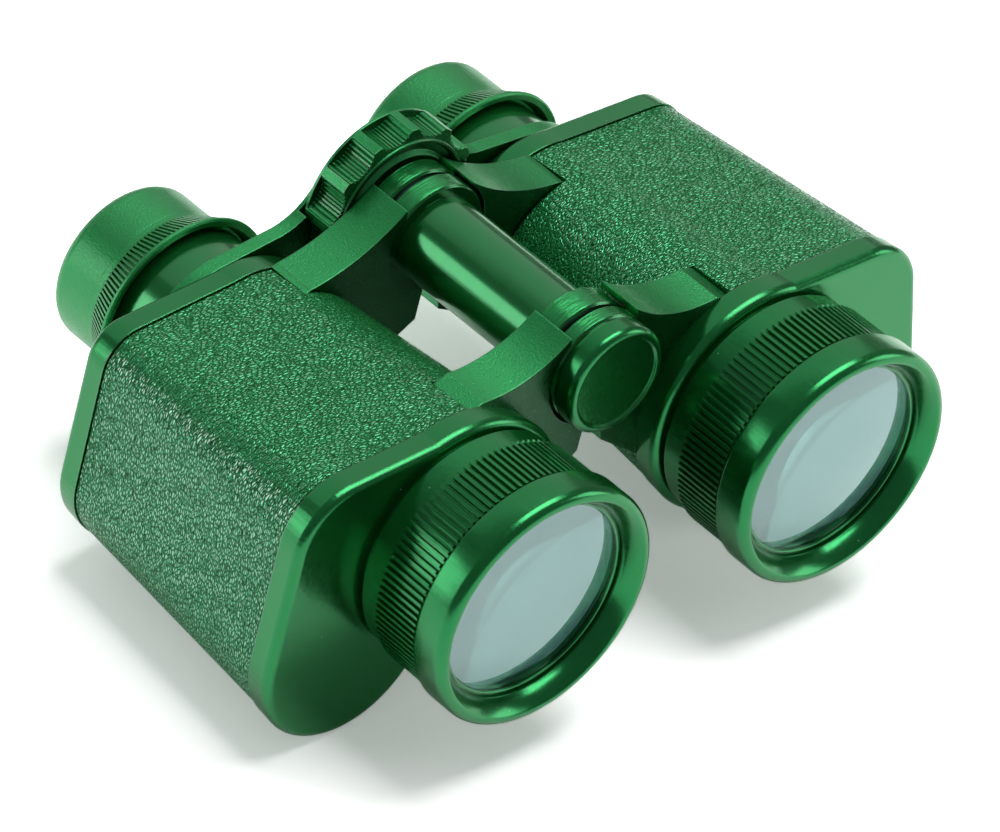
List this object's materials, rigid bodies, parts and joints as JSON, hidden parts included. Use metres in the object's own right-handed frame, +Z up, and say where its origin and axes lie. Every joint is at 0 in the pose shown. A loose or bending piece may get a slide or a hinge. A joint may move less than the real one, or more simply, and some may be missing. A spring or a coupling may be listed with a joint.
{
  "type": "toy binoculars",
  "caption": "Folding toy binoculars with a centre hinge, grained housings, ribbed objective rims, and a lobed focus wheel that slides the eyepieces.",
  "frame": {"origin": "middle of the footprint, on the surface that the round feet stand on, with the halves folded as shown", "axes": "+X across from the left half to the right half as seen from the front, +Y from the objectives to the eyepieces along the hinge axis, +Z up from the feet to the hinge"},
  "size_m": [0.1312, 0.102, 0.0594],
  "materials": {
    "green_moulded": "fine matt moulded plastic",
    "green_grained": "leather grain moulded plastic",
    "green_gloss": "smooth glossy plastic",
    "green_satin": "smooth satin plastic",
    "lens": "clear moulded lens",
    "dark_ring": "dark matt plastic",
    "steel": "bright metal"
  },
  "bodies": {
    "right_half": {"right_body_shell": "green_moulded", "right_grip_cover": "green_grained", "right_front_cover": "green_gloss", "right_rear_cover": "green_gloss", "right_objective_barrel": "green_gloss", "right_objective_bezel": "green_gloss", "right_objective_lens": "lens", "right_objective_ring": "dark_ring", "hinge_pin": "steel", "hinge_washers": "steel", "hinge_cap": "green_gloss"},
    "left_half": {"left_body_shell": "green_moulded", "left_grip_cover": "green_grained", "left_front_cover": "green_gloss", "left_rear_cover": "green_gloss", "left_objective_barrel": "green_gloss", "left_objective_bezel": "green_gloss", "left_objective_lens": "lens", "left_objective_ring": "dark_ring", "hinge_tube": "green_satin"},
    "right_eyepiece": {"right_eyepiece_tube": "green_gloss", "right_eyecup": "green_satin", "right_eyepiece_lens": "lens", "right_eyepiece_ring": "dark_ring", "right_bridge_arm": "green_moulded", "focus_spindle": "steel", "bridge_screw": "steel"},
    "left_eyepiece": {"left_eyepiece_tube": "green_gloss", "left_eyecup": "green_satin", "left_eyepiece_lens": "lens", "left_eyepiece_ring": "dark_ring", "left_bridge_arm": "green_moulded"},
    "wheel": {"focus_wheel": "green_satin"}
  },
  "joints": [
    {"name": "fold", "type": "hinge", "parent": "right_half", "child": "left_half", "pos_m": [0, 0, 0.0449], "axis": [0, 1, 0], "range_deg": [-15, 30]},
    {"name": "focus", "type": "hinge", "parent": "right_half", "child": "wheel", "pos_m": [0, 0, 0.0449], "axis": [0, 1, 0], "range_deg": [0, 450]},
    {"name": "right_eyepiece_slide", "type": "slide", "parent": "right_half", "child": "right_eyepiece", "axis": [0, 1, 0], "range_m": [0, 0.005]},
    {"name": "left_eyepiece_slide", "type": "slide", "parent": "left_half", "child": "left_eyepiece", "axis": [0, 1, 0], "range_m": [0, 0.005]}
  ],
  "couplings": [
    {"joint": "focus", "follows": "right_eyepiece_slide", "rad_per_m": 1570.8},
    {"joint": "left_eyepiece_slide", "follows": "right_eyepiece_slide", "ratio": 1}
  ]
}
